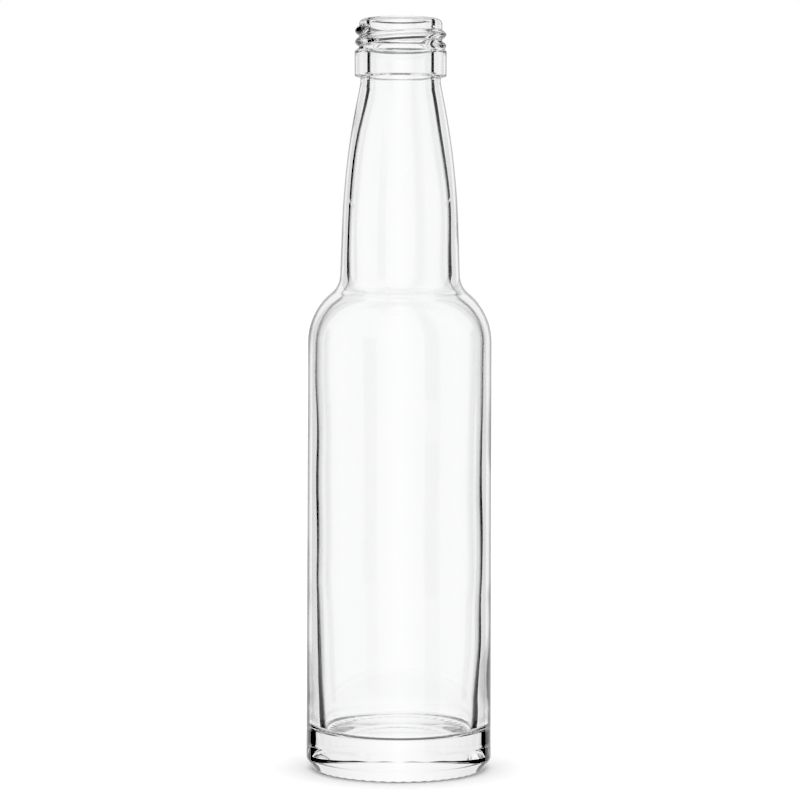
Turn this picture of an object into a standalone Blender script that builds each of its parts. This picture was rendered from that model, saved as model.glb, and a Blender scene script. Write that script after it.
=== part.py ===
"""Small schnapps bottle of clear glass: one hollow solid with a screw finish.

Units in the lists below are millimetres. The model itself is in metres, +Z up,
with its origin at the centre of the base, on the surface that it stands on.
"""

import math

import bmesh
import bpy

MM = 0.001

# Driving dimensions, in millimetres
HEIGHT = 223.45
BODY_RADIUS = 27.65
SHOULDER_RADIUS = 27.4
LIP_RADIUS = 12.38
BORE_RADIUS = 9.3
COLLAR_RADIUS = 13.7
NECK_RING_RADIUS = 11.97
NECK_BEND_RADIUS = 16.63
NECK_BASE_RADIUS = 17.95
NECK_BASE_INNER_RADIUS = 14.98
BODY_INNER_RADIUS = 25.35
BEARING_OUTER_RADIUS = 25.4
BEARING_INNER_RADIUS = 22.6
PUSH_UP = 2.6
FLOOR_RADIUS = 20.4
FLOOR_CORNER_RADIUS = 22.7
FLOOR_EDGE = 11.8
FLOOR_CROWN = 12.8

# Levels up the outside
HEEL_TOP = 3.3
SHOULDER_TOP = 136.6
NECK_FOOT = 144.3
NECK_BEND = 181.2
NECK_RING_FOOT = 204.4
COLLAR_FOOT = 206.5
COLLAR_TOP = 213.9
THREAD_FOOT = 215.1

# Levels up the inside
INNER_BODY_TOP = 114.0
INNER_SHOULDER_TOP = 135.3
INNER_NECK_FOOT = 143.7
INNER_NECK_BEND = 178.1
BORE_FOOT = 202.7

# (radius, level) where the inside wall of the body bends slightly, from the floor up
INNER_BODY_BENDS = (
    (23.2, 21.0),
    (24.2, 36.0),
    (24.92, 56.5),
    (24.5, 74.0),
    (24.55, 97.0),
)

# Roundings
LIP_ROUNDING = 1.5
INNER_LIP_ROUNDING = 0.6
COLLAR_TOP_ROUNDING = 0.4
COLLAR_FOOT_ROUNDING = 0.45
NECK_RING_ROUNDING = 0.8
NECK_FILLET = 0.25
NECK_BEND_ROUNDING = 222
NECK_FOOT_ROUNDING = 7
SHOULDER_ROUNDING = 18.7
HEEL_ROUNDING = 2
BEARING_ROUNDING = 1
FLOOR_CORNER_ROUNDING = 2.2
INNER_SHOULDER_ROUNDING = 16.7
INNER_NECK_FOOT_ROUNDING = 10
INNER_NECK_BEND_ROUNDING = 150
BORE_FOOT_ROUNDING = 6

# Thread: a right-hand ridge of nearly two turns, with both ends run out
PITCH = 3.25
THREAD_RADIUS = 13.65
THREAD_FOOT_WIDTH = 3.0
THREAD_FLANK_WIDTH = 1.5
THREAD_CREST_WIDTH = 0.7
THREAD_LEVEL = 215.35
THREAD_SLANT = 0.25
THREAD_START = math.radians(-62)
THREAD_END = math.radians(582)
RUN_OUT = math.radians(42)
FOOT_DEPTH = 0.9
RUN_OUT_DEPTH = 0.3

# Steps round the axis, and the largest turn and length of an arc between two of its points
SEGMENTS = 48
SEGMENT_ANGLE = 2 * math.pi / SEGMENTS
ARC_STEP = math.radians(17)
LONGEST_STEP = 12
FLOOR_STEPS = 3
PUSH_UP_STEPS = 5


def clear_scene():
    for obj in list(bpy.data.objects):
        bpy.data.objects.remove(obj, do_unlink=True)


def glass_material():
    material = bpy.data.materials.new("clear_glass")
    material.use_nodes = True
    shader = material.node_tree.nodes["Principled BSDF"]
    shader.inputs["Base Color"].default_value = (0.96, 0.98, 0.97, 1)
    shader.inputs["Roughness"].default_value = 0.02
    shader.inputs["Metallic"].default_value = 0
    shader.inputs["IOR"].default_value = 1.52
    shader.inputs["Transmission Weight"].default_value = 1
    return material


def rounded_corner(before, corner, after, radius):
    """Points of the arc that rounds a corner of a polyline; before and after are its neighbours."""
    into = (corner[0] - before[0], corner[1] - before[1])
    out = (after[0] - corner[0], after[1] - corner[1])
    turn = math.atan2(into[0] * out[1] - into[1] * out[0], into[0] * out[0] + into[1] * out[1])
    length_in = math.hypot(*into)
    cut = radius * math.tan(abs(turn) / 2)
    start = (corner[0] - into[0] / length_in * cut, corner[1] - into[1] / length_in * cut)
    heading = math.atan2(into[1], into[0])
    steps = max(2, math.ceil(abs(turn) / ARC_STEP), math.ceil(radius * abs(turn) / LONGEST_STEP))
    side = math.copysign(1, turn)
    centre = (start[0] - side * radius * math.sin(heading), start[1] + side * radius * math.cos(heading))
    points = []
    for step in range(steps + 1):
        angle = heading + turn * step / steps
        x = centre[0] + side * radius * math.sin(angle)
        z = centre[1] - side * radius * math.cos(angle)
        points.append((x, z))
    return points


def rounded_outline(corners):
    """(radius, level) points of a polyline whose corners are (radius, level, rounding)."""
    points = [corners[0][:2]]
    for before, corner, after in zip(corners, corners[1:], corners[2:]):
        if corner[2]:
            points += rounded_corner(before, corner, after, corner[2])
        else:
            points.append(corner[:2])
    points.append(corners[-1][:2])
    return points


def shallow_arc(radius, edge_level, crown_level, steps):
    """Points of a low dome, from its edge to just before the axis and then on it."""
    rise = crown_level - edge_level
    ball = (radius**2 + rise**2) / (2 * rise)
    points = []
    for step in range(steps + 1):
        x = radius * (1 - step / steps)
        points.append((x, crown_level - ball + math.sqrt(ball**2 - x**2)))
    return points


def inner_outline():
    """The inside, from the crown of the floor up the wall to the mouth."""
    floor = shallow_arc(FLOOR_RADIUS, FLOOR_EDGE, FLOOR_CROWN, FLOOR_STEPS)
    wall = [
        (FLOOR_RADIUS, FLOOR_EDGE, 0),
        (FLOOR_CORNER_RADIUS, FLOOR_EDGE, FLOOR_CORNER_ROUNDING),
    ]
    wall += [(radius, level, 0) for radius, level in INNER_BODY_BENDS]
    wall += [
        (BODY_INNER_RADIUS, INNER_BODY_TOP, 0),
        (BODY_INNER_RADIUS, INNER_SHOULDER_TOP, INNER_SHOULDER_ROUNDING),
        (NECK_BASE_INNER_RADIUS, INNER_NECK_FOOT, INNER_NECK_FOOT_ROUNDING),
        (NECK_BASE_INNER_RADIUS, INNER_NECK_BEND, INNER_NECK_BEND_ROUNDING),
        (BORE_RADIUS, BORE_FOOT, BORE_FOOT_ROUNDING),
        (BORE_RADIUS, HEIGHT, INNER_LIP_ROUNDING),
        (LIP_RADIUS, HEIGHT, 0),
    ]
    return floor[::-1] + rounded_outline(wall)[1:-1]


def outer_outline():
    """The outside, from the lip down to the bearing ring and in to the crown of the push-up."""
    wall = [
        (BORE_RADIUS, HEIGHT, 0),
        (LIP_RADIUS, HEIGHT, LIP_ROUNDING),
        (LIP_RADIUS, THREAD_FOOT, 0),
        (COLLAR_RADIUS, COLLAR_TOP, COLLAR_TOP_ROUNDING),
        (COLLAR_RADIUS, COLLAR_FOOT, COLLAR_FOOT_ROUNDING),
        (NECK_RING_RADIUS, COLLAR_FOOT, NECK_FILLET),
        (NECK_RING_RADIUS, NECK_RING_FOOT, NECK_RING_ROUNDING),
        (NECK_BEND_RADIUS, NECK_BEND, NECK_BEND_ROUNDING),
        (NECK_BASE_RADIUS, NECK_FOOT, NECK_FOOT_ROUNDING),
        (SHOULDER_RADIUS, SHOULDER_TOP, SHOULDER_ROUNDING),
        (BODY_RADIUS, HEEL_TOP, HEEL_ROUNDING),
        (BEARING_OUTER_RADIUS, 0, BEARING_ROUNDING),
        (BEARING_INNER_RADIUS, 0, 0),
    ]
    push_up = shallow_arc(BEARING_INNER_RADIUS, 0, PUSH_UP, PUSH_UP_STEPS)
    return rounded_outline(wall)[1:-1] + push_up


def glass_wall(material):
    """The glass without its thread: the outline turned once round the axis."""
    mesh = bpy.data.meshes.new("bottle")
    outline = inner_outline() + outer_outline()
    points = [(x * MM, 0, z * MM) for x, z in outline]
    edges = [(i, i + 1) for i in range(len(points) - 1)]
    mesh.from_pydata(points, edges, [])
    bottle = bpy.data.objects.new("bottle", mesh)
    bpy.context.collection.objects.link(bottle)
    screw = bottle.modifiers.new("turned", "SCREW")
    screw.axis = "Z"
    screw.angle = 2 * math.pi
    screw.steps = SEGMENTS
    screw.render_steps = SEGMENTS
    screw.use_merge_vertices = True
    screw.merge_threshold = 0.00001
    mesh.materials.append(material)
    return bottle


def run_out(along):
    """1 along the thread, falling smoothly to 0 at each end. along is the angle from its start."""
    near = min(along, THREAD_END - THREAD_START - along)
    share = min(1, max(0, near / RUN_OUT))
    return share * share * (3 - 2 * share)


def thread_section(height):
    """(radius, level) corners of the ridge, whose foot lies inside the glass at any height from 0 to 1."""
    foot = LIP_RADIUS - FOOT_DEPTH
    lowest = LIP_RADIUS - RUN_OUT_DEPTH
    crest = lowest + (THREAD_RADIUS - lowest) * height
    shoulder = foot + (crest - foot) * 0.9
    upper = [
        (crest, THREAD_CREST_WIDTH / 2),
        (shoulder, THREAD_FLANK_WIDTH / 2),
        (foot, THREAD_FOOT_WIDTH / 2),
    ]
    lower = [(radius, -lift) for radius, lift in reversed(upper)]
    return lower + upper


def thread_ridge():
    """The helical ridge, sunk a little into the glass, as a closed sweep of its section."""
    steps = round((THREAD_END - THREAD_START) / SEGMENT_ANGLE)
    bm = bmesh.new()
    rings = []
    for step in range(steps + 1):
        along = (THREAD_END - THREAD_START) * step / steps
        angle = THREAD_START + along
        level = THREAD_LEVEL + PITCH * angle / (2 * math.pi) + THREAD_SLANT * math.cos(angle)
        ring = []
        for radius, lift in thread_section(run_out(along)):
            x = radius * math.cos(angle)
            y = radius * math.sin(angle)
            ring.append(bm.verts.new((x * MM, y * MM, (level + lift) * MM)))
        rings.append(ring)
    bm.faces.new(rings[0])
    bm.faces.new(rings[-1][::-1])
    for ring, following in zip(rings, rings[1:]):
        for i, vert in enumerate(ring):
            j = (i + 1) % len(ring)
            bm.faces.new((vert, following[i], following[j], ring[j]))
    bmesh.ops.recalc_face_normals(bm, faces=bm.faces)
    mesh = bpy.data.meshes.new("thread_ridge")
    bm.to_mesh(mesh)
    bm.free()
    ridge = bpy.data.objects.new("thread_ridge", mesh)
    bpy.context.collection.objects.link(ridge)
    return ridge


def fuse(bottle, ridge):
    """Joins the ridge to the glass as one solid."""
    union = bottle.modifiers.new("thread", "BOOLEAN")
    union.operation = "UNION"
    union.object = ridge
    bpy.context.view_layer.objects.active = bottle
    bottle.select_set(True)
    for name in [modifier.name for modifier in bottle.modifiers]:
        bpy.ops.object.modifier_apply(modifier=name)
    bpy.data.objects.remove(ridge, do_unlink=True)


def shade(bottle):
    bottle.data.shade_smooth()
    bottle.data.set_sharp_from_angle(angle=math.radians(35))


def main():
    clear_scene()
    bottle = glass_wall(glass_material())
    fuse(bottle, thread_ridge())
    shade(bottle)


main()
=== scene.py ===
"""Looks of a small empty schnapps bottle: one piece of clear glass in a bright-field studio."""

import math

import bpy
import numpy as np
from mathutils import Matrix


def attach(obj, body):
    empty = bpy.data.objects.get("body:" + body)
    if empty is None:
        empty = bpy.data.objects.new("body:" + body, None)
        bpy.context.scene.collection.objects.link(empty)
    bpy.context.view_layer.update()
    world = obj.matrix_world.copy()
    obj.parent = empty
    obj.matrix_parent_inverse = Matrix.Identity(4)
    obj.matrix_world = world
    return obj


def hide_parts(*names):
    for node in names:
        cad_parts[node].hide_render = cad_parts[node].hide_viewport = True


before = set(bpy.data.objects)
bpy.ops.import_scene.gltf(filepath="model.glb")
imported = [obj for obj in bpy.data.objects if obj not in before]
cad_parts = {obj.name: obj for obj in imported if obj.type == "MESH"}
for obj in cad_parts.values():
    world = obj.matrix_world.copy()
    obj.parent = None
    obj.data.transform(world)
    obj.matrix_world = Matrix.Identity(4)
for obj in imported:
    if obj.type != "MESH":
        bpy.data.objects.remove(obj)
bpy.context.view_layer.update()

MM = 0.001

# The bottle's sizes, in millimetres, much as in the solid that it replaces
HEIGHT = 223.45
BODY_RADIUS = 27.65
SHOULDER_RADIUS = 27.4
LIP_RADIUS = 12.38
BORE_RADIUS = 9.3
COLLAR_RADIUS = 13.68
NECK_RING_RADIUS = 11.97
NECK_BEND_RADIUS = 16.63
NECK_BASE_RADIUS = 17.95
NECK_BASE_INNER_RADIUS = 14.98
BODY_INNER_RADIUS = 25.35
BEARING_OUTER_RADIUS = 25.4
BEARING_INNER_RADIUS = 22.6
PUSH_UP = 2.6
FLOOR_RADIUS = 20.4
FLOOR_CORNER_RADIUS = 22.7
FLOOR_EDGE = 11.8
FLOOR_CROWN = 12.8

# Levels up the outside
HEEL_TOP = 3.3
SHOULDER_TOP = 136.6
NECK_FOOT = 144.3
NECK_BEND = 181.2
NECK_RING_FOOT = 204.4
NECK_RING_TOP = 206.1
COLLAR_FOOT = 206.5
COLLAR_TOP = 213.9
THREAD_FOOT = 215.1

# Levels up the inside
INNER_BODY_TOP = 114.0
INNER_SHOULDER_TOP = 135.3
INNER_NECK_FOOT = 143.7
INNER_NECK_BEND = 178.1
BORE_FOOT = 202.7

# (radius, level, rounding) where the inside wall of the body bends slightly, from the floor up
INNER_BODY_BENDS = (
    (23.2, 21.0, 200),
    (24.2, 36.0, 200),
    (24.92, 56.5, 120),
    (24.5, 74.0, 500),
    (24.55, 97.0, 250),
)

# Roundings
LIP_ROUNDING = 1.5
INNER_LIP_ROUNDING = 0.6
THREAD_FOOT_ROUNDING = 0.3
COLLAR_TOP_ROUNDING = 0.4
COLLAR_FOOT_ROUNDING = 0.45
NECK_FILLET = 0.25
NECK_RING_ROUNDING = 0.8
NECK_BEND_ROUNDING = 222
NECK_FOOT_ROUNDING = 7
SHOULDER_ROUNDING = 18.7
HEEL_ROUNDING = 2
BEARING_ROUNDING = 1
BEARING_INNER_ROUNDING = 0.6
FLOOR_CORNER_ROUNDING = 2.2
INNER_BODY_TOP_ROUNDING = 200
INNER_SHOULDER_ROUNDING = 16.7
INNER_NECK_FOOT_ROUNDING = 10
INNER_NECK_BEND_ROUNDING = 150
BORE_FOOT_ROUNDING = 6

# Where the rounded inner edge of the bearing ring leads into the dome under the base
PUSH_UP_LEAD = (BEARING_INNER_RADIUS - 3, 0.7)
PUSH_UP_RADIUS = BEARING_INNER_RADIUS - 0.4
PUSH_UP_EDGE = 0.1

# Thread: a right-hand ridge of nearly two turns, with both ends run out
PITCH = 3.25
THREAD_RADIUS = 13.6
THREAD_WIDTH = 2.8
THREAD_LEVEL = 215.35
THREAD_SLANT = 0.25
THREAD_START = math.radians(-62)
THREAD_END = math.radians(582)
RUN_OUT = math.radians(42)

# Knurls: the low ribs under the bearing ring, how far they reach past it, and below which level
KNURLS = 52
KNURL_DEPTH = 0.22
KNURL_REACH = 0.3
KNURL_TOP = 0.5

# The blown inside wall isn't quite true: how far its axis lies off in the neck and low in the body, and
# between which levels each comes in, then the depth of its waves, and the levels that bound it all
NECK_OFFSET = -0.2
NECK_OFFSET_RISE = (130, 155)
BODY_OFFSET = 0.1
BODY_OFFSET_RISE = (22, 42)
BODY_OFFSET_FALL = (50, 75)
WAVE = 0.05
SLOW_WAVE = 11
QUICK_WAVE = 5.3
TRUE_BELOW = FLOOR_EDGE + 4
TRUE_ABOVE = 203
TRUE_FADE = 12

# Fineness of the mesh: steps round the axis, and the turn and length of each step along the outline
SEGMENTS = 208
ARC_STEP = math.radians(5)
LONGEST_STEP = 3.0
DOME_STEPS = 12
# The rings lie closer together above this level, for the thread
FINISH_FOOT = 203.5
FINISH_STEP = 0.14

# Glass: how nearly edge-on it starts and ends to darken, the painted shade there, and how nearly level a
# face is where that begins and ceases to be left out, as on the inner floor
EDGE_FACING = (0.72, 0.83)
EDGE_PAINTED_SHADE = 0.06
LEVEL_FACES = (0.9, 0.97)
IOR = 1.52
# Its faint green, in patches of about a centimetre
FLINT_TINTS = ((1.0, 1.0, 1.0, 1), (0.988, 0.996, 0.992, 1))
PATCHES = 100

# Camera
CAMERA_DISTANCE = 0.82
CAMERA_HEIGHT = 0.145
CAMERA_PITCH = math.radians(2.42)
CAMERA_ROLL = math.radians(-0.174)
FOCAL_PIXELS = 2750
FRAME_PIXELS = 800
SENSOR = 36
BLACK_LEVEL = 0.08

# Faces of the glass that a ray of light may meet
MOST_FACES = 24

# Floor: half its side in metres, its two whites, their grain, and the light on it
FLOOR_HALF = 20
FLOOR_WHITES = (0.79, 0.81)
FLOOR_GRAIN = 400
FLOOR_LIGHT = 1.75

# What the glass sees: a white room, a little darker towards its corners
ROOM_LIGHT = 0.995
CORNER_LIGHT = 0.84
CORNER_ANGLE = 38
BLACK = 0.003
# Black flags: from and to which direction, and from which level up to which, in degrees; for a ray that
# has met from how few to how many faces of the glass; and the light that each lets through
FLAGS = (
    (42, 60, -13, 60, 1, 1, BLACK),
    (42, 60, -13, 60, 4, MOST_FACES, BLACK),
    (-60, -39, -13, 60, 1, 1, BLACK),
    (-60, -39, -13, 60, 4, MOST_FACES, BLACK),
    (43.5, 60, -22, 4.33, 3, 3, BLACK),
    (56, 68, 4.33, 4.82, 3, 3, BLACK),
    (43.5, 60, 4.82, 60, 3, 3, BLACK),
    (-60, -43.5, -22, 4.33, 3, 3, BLACK),
    (-68, -56, 4.33, 4.82, 3, 3, BLACK),
    (-60, -43.5, 4.82, 60, 3, 3, BLACK),
    (54, 80, -13, 30, 2, 2, BLACK),
    (-80, -54, -13, 30, 2, 2, BLACK),
    (60, 84, 6, 25, 4, 4, BLACK),
    (-84, -60, 6, 25, 4, 4, BLACK),
    (128, 148, -9.6, 60, 1, 1, 0.4),
    (128, 148, -9.6, 60, 3, 3, 0.4),
    (128, 148, -9.6, 60, 5, MOST_FACES, 0.4),
    (-181, 181, 31, 91, 2, 2, 0.15),
    (-181, 181, 30, 91, 4, 4, 0.35),
    (-181, 181, -91, -40, 3, 3, 0.25),
    (-181, 181, -91, 91, 8, MOST_FACES, 0.35),
)
SIDE_SOFTNESS = 0.8
LEVEL_SOFTNESS = 0.06


def smooth_step(share):
    share = np.clip(share, 0, 1)
    return share * share * (3 - 2 * share)


def rounded_corner(before, corner, after, radius):
    """Points of the arc that rounds a corner of a polyline; before and after are its neighbours."""
    into = (corner[0] - before[0], corner[1] - before[1])
    out = (after[0] - corner[0], after[1] - corner[1])
    turn = math.atan2(into[0] * out[1] - into[1] * out[0], into[0] * out[0] + into[1] * out[1])
    length_in = math.hypot(*into)
    cut = radius * math.tan(abs(turn) / 2)
    start = (corner[0] - into[0] / length_in * cut, corner[1] - into[1] / length_in * cut)
    heading = math.atan2(into[1], into[0])
    arc = radius * abs(turn)
    steps = max(4, math.ceil(abs(turn) / ARC_STEP), math.ceil(arc / LONGEST_STEP))
    side = math.copysign(1, turn)
    centre = (start[0] - side * radius * math.sin(heading), start[1] + side * radius * math.cos(heading))
    points = []
    for step in range(steps + 1):
        angle = heading + turn * step / steps
        x = centre[0] + side * radius * math.sin(angle)
        z = centre[1] - side * radius * math.cos(angle)
        points.append((x, z))
    return points


def rounded_outline(corners):
    """(radius, level) points of a polyline whose corners are (radius, level, rounding)."""
    points = [corners[0][:2]]
    for before, corner, after in zip(corners, corners[1:], corners[2:]):
        if corner[2]:
            points += rounded_corner(before, corner, after, corner[2])
        else:
            points.append(corner[:2])
    points.append(corners[-1][:2])
    return points


def filled_in(points, longest):
    """The same outline with points added on every straight run longer than longest."""
    filled = [points[0]]
    for before, after in zip(points, points[1:]):
        steps = max(1, math.ceil(math.dist(before, after) / longest))
        for step in range(1, steps + 1):
            share = step / steps
            x = before[0] + (after[0] - before[0]) * share
            z = before[1] + (after[1] - before[1]) * share
            filled.append((x, z))
    return filled


def shallow_arc(radius, edge_level, crown_level, steps):
    """Points of a low dome, from its edge to the axis."""
    rise = crown_level - edge_level
    ball = (radius**2 + rise**2) / (2 * rise)
    points = []
    for step in range(steps + 1):
        x = radius * (1 - step / steps)
        points.append((x, crown_level - ball + math.sqrt(ball**2 - x**2)))
    return points


def inner_outline():
    """The inside, from the crown of the floor up the wall to the mouth."""
    floor = shallow_arc(FLOOR_RADIUS, FLOOR_EDGE, FLOOR_CROWN, DOME_STEPS)
    wall = [
        (FLOOR_RADIUS, FLOOR_EDGE, 0),
        (FLOOR_CORNER_RADIUS, FLOOR_EDGE, FLOOR_CORNER_ROUNDING),
        *INNER_BODY_BENDS,
        (BODY_INNER_RADIUS, INNER_BODY_TOP, INNER_BODY_TOP_ROUNDING),
        (BODY_INNER_RADIUS, INNER_SHOULDER_TOP, INNER_SHOULDER_ROUNDING),
        (NECK_BASE_INNER_RADIUS, INNER_NECK_FOOT, INNER_NECK_FOOT_ROUNDING),
        (NECK_BASE_INNER_RADIUS, INNER_NECK_BEND, INNER_NECK_BEND_ROUNDING),
        (BORE_RADIUS, BORE_FOOT, BORE_FOOT_ROUNDING),
        (BORE_RADIUS, HEIGHT, INNER_LIP_ROUNDING),
        (LIP_RADIUS, HEIGHT, 0),
    ]
    return floor[::-1] + filled_in(rounded_outline(wall)[1:-1], LONGEST_STEP)


def outer_outline():
    """The outside, from the lip down to the bearing ring and in to the crown of the push-up."""
    wall = [
        (BORE_RADIUS, HEIGHT, 0),
        (LIP_RADIUS, HEIGHT, LIP_ROUNDING),
        (LIP_RADIUS, THREAD_FOOT, THREAD_FOOT_ROUNDING),
        (COLLAR_RADIUS, COLLAR_TOP, COLLAR_TOP_ROUNDING),
        (COLLAR_RADIUS, COLLAR_FOOT, COLLAR_FOOT_ROUNDING),
        (NECK_RING_RADIUS, NECK_RING_TOP, NECK_FILLET),
        (NECK_RING_RADIUS, NECK_RING_FOOT, NECK_RING_ROUNDING),
        (NECK_BEND_RADIUS, NECK_BEND, NECK_BEND_ROUNDING),
        (NECK_BASE_RADIUS, NECK_FOOT, NECK_FOOT_ROUNDING),
        (SHOULDER_RADIUS, SHOULDER_TOP, SHOULDER_ROUNDING),
        (BODY_RADIUS, HEEL_TOP, HEEL_ROUNDING),
        (BEARING_OUTER_RADIUS, 0, BEARING_ROUNDING),
        (BEARING_INNER_RADIUS, 0, BEARING_INNER_ROUNDING),
        (*PUSH_UP_LEAD, 0),
    ]
    push_up = shallow_arc(PUSH_UP_RADIUS, PUSH_UP_EDGE, PUSH_UP, DOME_STEPS)
    outline = rounded_outline(wall)[1:-1]
    finish = [point for point in outline if point[1] > FINISH_FOOT]
    below = [finish[-1]] + [point for point in outline if point[1] <= FINISH_FOOT]
    return filled_in(finish, FINISH_STEP)[:-1] + filled_in(below, LONGEST_STEP) + push_up[1:]


def thread_height(angle, level):
    """How far the thread stands out of the lip at each angle and level."""
    height = np.zeros_like(level)
    for turn in (-1, 0, 1, 2):
        swept = angle + 2 * math.pi * turn
        along = swept - THREAD_START
        left = THREAD_END - swept
        share = smooth_step(np.minimum(along, left) / RUN_OUT)
        middle = THREAD_LEVEL + PITCH * swept / (2 * math.pi) + THREAD_SLANT * np.cos(angle)
        off = np.abs(level - middle)
        section = np.cos(math.pi / 2 * np.clip(off / (THREAD_WIDTH / 2), 0, 1))
        height = np.maximum(height, share * section)
    return height


def risen(level, low, high):
    """0 below low, rising smoothly to 1 above high."""
    return smooth_step((level - low) / (high - low))


def untrue(angle, level):
    """How much the blown inside wall stands out from its turned form."""
    above_floor = risen(level, TRUE_BELOW, TRUE_BELOW + TRUE_FADE)
    below_finish = 1 - risen(level, TRUE_ABOVE - TRUE_FADE, TRUE_ABOVE)
    neck = NECK_OFFSET * risen(level, *NECK_OFFSET_RISE)
    body = BODY_OFFSET * risen(level, *BODY_OFFSET_RISE) * (1 - risen(level, *BODY_OFFSET_FALL))
    waves = np.sin(level / SLOW_WAVE + 2 * angle) + 0.7 * np.sin(level / QUICK_WAVE - 3 * angle + 1)
    return above_floor * below_finish * ((neck + body) * np.cos(angle) + WAVE * waves)


def glass_mesh():
    inner = inner_outline()
    outer = outer_outline()
    outline = np.array(inner[1:] + outer[:-1])
    count = len(outline)
    angles = np.arange(SEGMENTS) * 2 * math.pi / SEGMENTS
    radius = np.repeat(outline[:, 0:1], SEGMENTS, axis=1)
    level = np.repeat(outline[:, 1:2], SEGMENTS, axis=1)
    angle = np.repeat(angles[None, :], count, axis=0)
    is_outer = (np.arange(count) >= len(inner) - 1)[:, None]
    radius = radius + untrue(angle, level) * ~is_outer
    thread = thread_height(angle, level) * (is_outer & (level < HEIGHT - LIP_ROUNDING / 3))
    radius = radius + (THREAD_RADIUS - radius) * thread * (radius < THREAD_RADIUS)
    on_ring = (radius > BEARING_INNER_RADIUS - KNURL_REACH) & (radius < BEARING_OUTER_RADIUS + KNURL_REACH)
    knurled = is_outer & on_ring & (level < KNURL_TOP)
    level = level + knurled * KNURL_DEPTH * (0.5 - 0.5 * np.cos(KNURLS * angle))
    x = radius * np.cos(angle)
    y = radius * np.sin(angle)
    points = np.stack([x, y, level], axis=-1).reshape(-1, 3) * MM
    floor_pole = len(points)
    push_pole = floor_pole + 1
    points = np.vstack([points, [[0, 0, inner[0][1] * MM], [0, 0, outer[-1][1] * MM]]])
    faces = []
    for ring in range(count - 1):
        for i in range(SEGMENTS):
            j = (i + 1) % SEGMENTS
            a, b = ring * SEGMENTS, (ring + 1) * SEGMENTS
            faces.append((a + j, a + i, b + i, b + j))
    last = (count - 1) * SEGMENTS
    for i in range(SEGMENTS):
        j = (i + 1) % SEGMENTS
        faces.append((floor_pole, i, j))
        faces.append((push_pole, last + j, last + i))
    mesh = bpy.data.meshes.new("bottle_glass")
    mesh.from_pydata(points.tolist(), [], faces)
    mesh.validate()
    mesh.shade_smooth()
    return mesh


def glass_material():
    """Clear flint glass: barely green, in patches, with painted shade where its walls are seen edge-on."""
    material = bpy.data.materials.new("clear_flint_glass")
    material.use_nodes = True
    tree = material.node_tree
    shader = tree.nodes["Principled BSDF"]
    shader.inputs["Roughness"].default_value = 0.0
    shader.inputs["IOR"].default_value = IOR
    shader.inputs["Transmission Weight"].default_value = 1
    # Painted shade: the base colour goes dark where a wall is seen edge-on, standing in for the dark
    # outlines that the glass gets from its surroundings; level faces are left out
    facing = tree.nodes.new("ShaderNodeLayerWeight")
    facing.inputs["Blend"].default_value = 0.5
    edge = tree.nodes.new("ShaderNodeMapRange")
    edge.interpolation_type = "SMOOTHSTEP"
    edge.inputs["From Min"].default_value = EDGE_FACING[0]
    edge.inputs["From Max"].default_value = EDGE_FACING[1]
    tree.links.new(facing.outputs["Facing"], edge.inputs["Value"])
    coordinates = tree.nodes.new("ShaderNodeTexCoord")
    direction = tree.nodes.new("ShaderNodeSeparateXYZ")
    tree.links.new(coordinates.outputs["Normal"], direction.inputs[0])
    wall = tree.nodes.new("ShaderNodeMapRange")
    wall.inputs["From Min"].default_value = LEVEL_FACES[0]
    wall.inputs["From Max"].default_value = LEVEL_FACES[1]
    tree.links.new(direction.outputs["Z"], wall.inputs["Value"])
    tree.links.new(edge.outputs["Result"], wall.inputs["To Min"])
    wall.inputs["To Max"].default_value = 0
    # The flint colour, mixed towards the painted edge shade
    flint_and_painted_shade = tree.nodes.new("ShaderNodeMix")
    flint_and_painted_shade.data_type = "RGBA"
    flint_and_painted_shade.inputs["B"].default_value = (EDGE_PAINTED_SHADE, EDGE_PAINTED_SHADE, EDGE_PAINTED_SHADE, 1)
    patches = tree.nodes.new("ShaderNodeTexNoise")
    patches.inputs["Scale"].default_value = PATCHES
    patches.inputs["Detail"].default_value = 1
    tree.links.new(coordinates.outputs["Object"], patches.inputs["Vector"])
    flint = tree.nodes.new("ShaderNodeMix")
    flint.data_type = "RGBA"
    flint.inputs["A"].default_value = FLINT_TINTS[0]
    flint.inputs["B"].default_value = FLINT_TINTS[1]
    tree.links.new(patches.outputs["Fac"], flint.inputs["Factor"])
    tree.links.new(flint.outputs["Result"], flint_and_painted_shade.inputs["A"])
    tree.links.new(wall.outputs["Result"], flint_and_painted_shade.inputs["Factor"])
    tree.links.new(flint_and_painted_shade.outputs["Result"], shader.inputs["Base Color"])
    return material


def add_glass():
    glass = bpy.data.objects.new("bottle_glass", glass_mesh())
    bpy.context.collection.objects.link(glass)
    glass.data.materials.append(glass_material())
    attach(glass, "root")
    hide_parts("bottle")
    return glass


def add_floor():
    mesh = bpy.data.meshes.new("floor")
    corners = [(x * FLOOR_HALF, y * FLOOR_HALF, 0) for x, y in ((-1, -1), (1, -1), (1, 1), (-1, 1))]
    mesh.from_pydata(corners, [], [(0, 1, 2, 3)])
    floor = bpy.data.objects.new("floor", mesh)
    bpy.context.collection.objects.link(floor)
    material = bpy.data.materials.new("floor")
    material.use_nodes = True
    tree = material.node_tree
    shader = tree.nodes["Principled BSDF"]
    grain = tree.nodes.new("ShaderNodeTexNoise")
    grain.inputs["Scale"].default_value = FLOOR_GRAIN
    shade = tree.nodes.new("ShaderNodeMix")
    shade.data_type = "RGBA"
    shade.inputs["A"].default_value = (FLOOR_WHITES[0],) * 3 + (1,)
    shade.inputs["B"].default_value = (FLOOR_WHITES[1],) * 3 + (1,)
    tree.links.new(grain.outputs["Fac"], shade.inputs["Factor"])
    tree.links.new(shade.outputs["Result"], shader.inputs["Base Color"])
    shader.inputs["Roughness"].default_value = 1.0
    shader.inputs["Specular IOR Level"].default_value = 0
    mesh.materials.append(material)
    floor.visible_transmission = False
    floor.visible_glossy = False
    return floor


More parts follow.
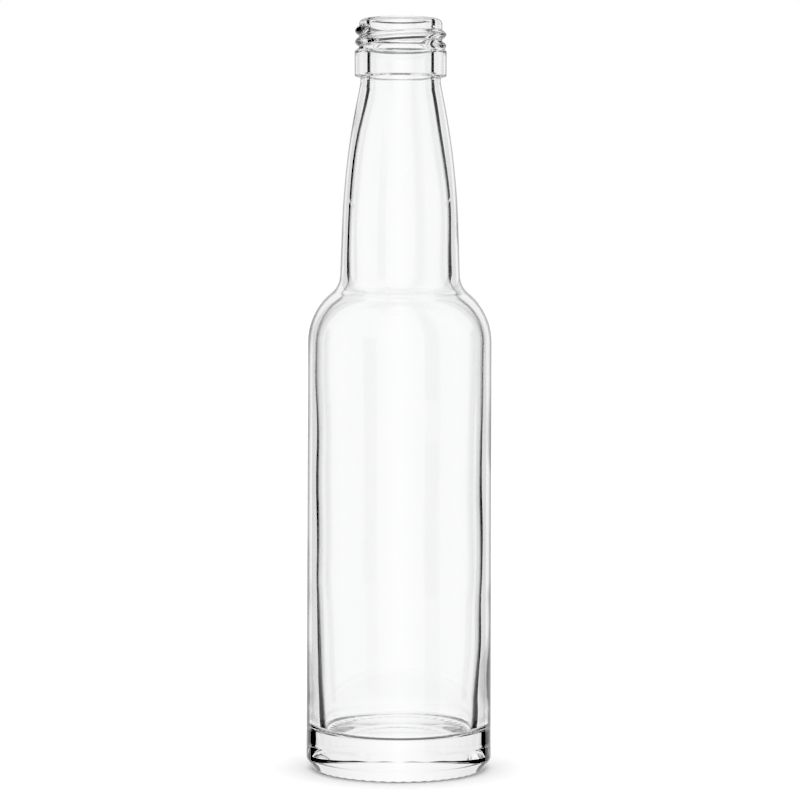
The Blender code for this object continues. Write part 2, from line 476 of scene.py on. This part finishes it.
def add_world():
    """White to the eye; the floor has an even light, and the glass sees a white room with black flags."""
    world = bpy.data.worlds.new("studio")
    bpy.context.scene.world = world
    world.use_nodes = True
    tree = world.node_tree
    tree.nodes.clear()

    def calculate(operation, *values):
        node = tree.nodes.new("ShaderNodeMath")
        node.operation = operation
        for socket, value in zip(node.inputs, values):
            if isinstance(value, (int, float)):
                socket.default_value = value
            else:
                tree.links.new(value, socket)
        return node.outputs[0]

    def rise(value, low, high, at_low=0.0, at_high=1.0, shape="SMOOTHSTEP"):
        """at_low below low and at_high above high."""
        node = tree.nodes.new("ShaderNodeMapRange")
        node.interpolation_type = shape
        tree.links.new(value, node.inputs["Value"])
        node.inputs["From Min"].default_value = low
        node.inputs["From Max"].default_value = high
        node.inputs["To Min"].default_value = at_low
        node.inputs["To Max"].default_value = at_high
        return node.outputs["Result"]

    def between(value, low, high, softness):
        """1 from low to high, and 0 outside."""
        up = rise(value, low - softness, low + softness)
        down = rise(value, high - softness, high + softness, 1.0, 0.0)
        return calculate("MULTIPLY", up, down)

    coordinates = tree.nodes.new("ShaderNodeTexCoord")
    split = tree.nodes.new("ShaderNodeSeparateXYZ")
    tree.links.new(coordinates.outputs["Generated"], split.inputs[0])
    x, y, z = split.outputs
    azimuth = calculate("MULTIPLY", calculate("ARCTAN2", x, y), 180 / math.pi)
    level = calculate("MULTIPLY", calculate("ARCSINE", z), 180 / math.pi)
    off_wall = calculate("ABSOLUTE", calculate("WRAP", azimuth, 45, -45))
    light = rise(off_wall, 0, CORNER_ANGLE, ROOM_LIGHT, CORNER_LIGHT, "LINEAR")
    path = tree.nodes.new("ShaderNodeLightPath")
    # On its way out to the world a ray counts one more bounce than the faces that it has met
    faces = calculate("SUBTRACT", path.outputs["Ray Depth"], 1)
    for start, end, lowest, highest, fewest, most, left in FLAGS:
        across = between(azimuth, start, end, SIDE_SOFTNESS)
        flag = calculate("MULTIPLY", across, between(level, lowest, highest, LEVEL_SOFTNESS))
        flag = calculate("MULTIPLY", flag, between(faces, fewest - 0.5, most + 0.5, 0.1))
        light = calculate("MULTIPLY", light, calculate("SUBTRACT", 1, calculate("MULTIPLY", flag, 1 - left)))
    eye = path.outputs["Is Camera Ray"]
    diffuse = path.outputs["Is Diffuse Ray"]
    glass = calculate("SUBTRACT", calculate("SUBTRACT", 1, eye), diffuse)
    seen = calculate("ADD", calculate("MULTIPLY", light, glass), eye)
    seen = calculate("ADD", seen, calculate("MULTIPLY", diffuse, FLOOR_LIGHT))
    background = tree.nodes.new("ShaderNodeBackground")
    background.inputs["Color"].default_value = (1, 1, 1, 1)
    tree.links.new(seen, background.inputs["Strength"])
    output = tree.nodes.new("ShaderNodeOutputWorld")
    tree.links.new(background.outputs[0], output.inputs["Surface"])


def add_camera():
    data = bpy.data.cameras.new("camera")
    data.sensor_width = SENSOR
    data.lens = SENSOR * FOCAL_PIXELS / FRAME_PIXELS
    data.clip_start = 0.01
    data.clip_end = 100
    camera = bpy.data.objects.new("camera", data)
    bpy.context.collection.objects.link(camera)
    camera.location = (0, -CAMERA_DISTANCE, CAMERA_HEIGHT)
    camera.rotation_euler = (math.pi / 2 - CAMERA_PITCH, CAMERA_ROLL, 0)
    bpy.context.scene.camera = camera


def set_render_looks():
    scene = bpy.context.scene
    scene.view_settings.view_transform = "Standard"
    scene.view_settings.look = "None"
    scene.view_settings.use_curve_mapping = True
    curves = scene.view_settings.curve_mapping
    curves.black_level = (BLACK_LEVEL, BLACK_LEVEL, BLACK_LEVEL)
    curves.update()
    scene.cycles.max_bounces = MOST_FACES
    scene.cycles.transmission_bounces = MOST_FACES
    scene.cycles.glossy_bounces = 12
    scene.cycles.diffuse_bounces = 4
    scene.cycles.caustics_reflective = True
    scene.cycles.caustics_refractive = True
    scene.cycles.use_denoising = True


add_glass()
add_floor()
add_world()
add_camera()
set_render_looks()
